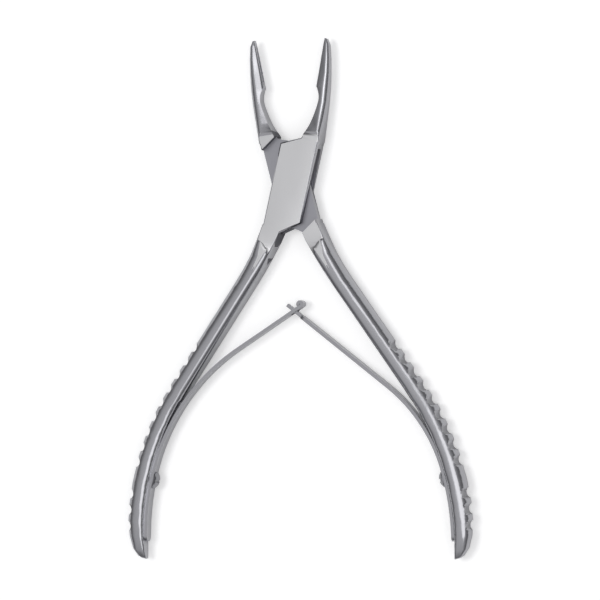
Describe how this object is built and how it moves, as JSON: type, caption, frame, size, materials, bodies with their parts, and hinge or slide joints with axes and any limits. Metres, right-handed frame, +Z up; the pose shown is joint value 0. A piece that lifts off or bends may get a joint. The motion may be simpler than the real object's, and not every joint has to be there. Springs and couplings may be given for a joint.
{
  "type": "bone rongeur",
  "caption": "Spring-handled bone rongeur: box-lock levers with spoon jaws, scalloped grips and two interlocked leaf springs.",
  "frame": {"origin": "pivot axis at the underside of the box lock", "axes": "+Y from the pivot to between the jaw tips, +X to the box lever's jaw, +Z up through the thickness"},
  "size_m": [0.0966, 0.1409, 0.008],
  "materials": {
    "polished_steel": "bright polished",
    "ground_steel": "satin ground",
    "spring_steel": "polished",
    "screw_steel": "polished"
  },
  "bodies": {
    "box_lever": {"female_half": "polished_steel", "pivot_pin": "ground_steel", "left_spring_leaf": "spring_steel", "left_spring_screw": "screw_steel"},
    "web_lever": {"male_half": "polished_steel", "right_spring_leaf": "spring_steel", "right_spring_screw": "screw_steel"}
  },
  "joints": [
    {"name": "lock_hinge", "type": "hinge", "parent": "box_lever", "child": "web_lever", "pos_m": [0, 0, 0], "axis": [0, 0, 1], "range_deg": [-27.2, 3], "stiffness_Nm_per_rad": 2, "deforming": ["left_spring_leaf", "right_spring_leaf"]}
  ]
}
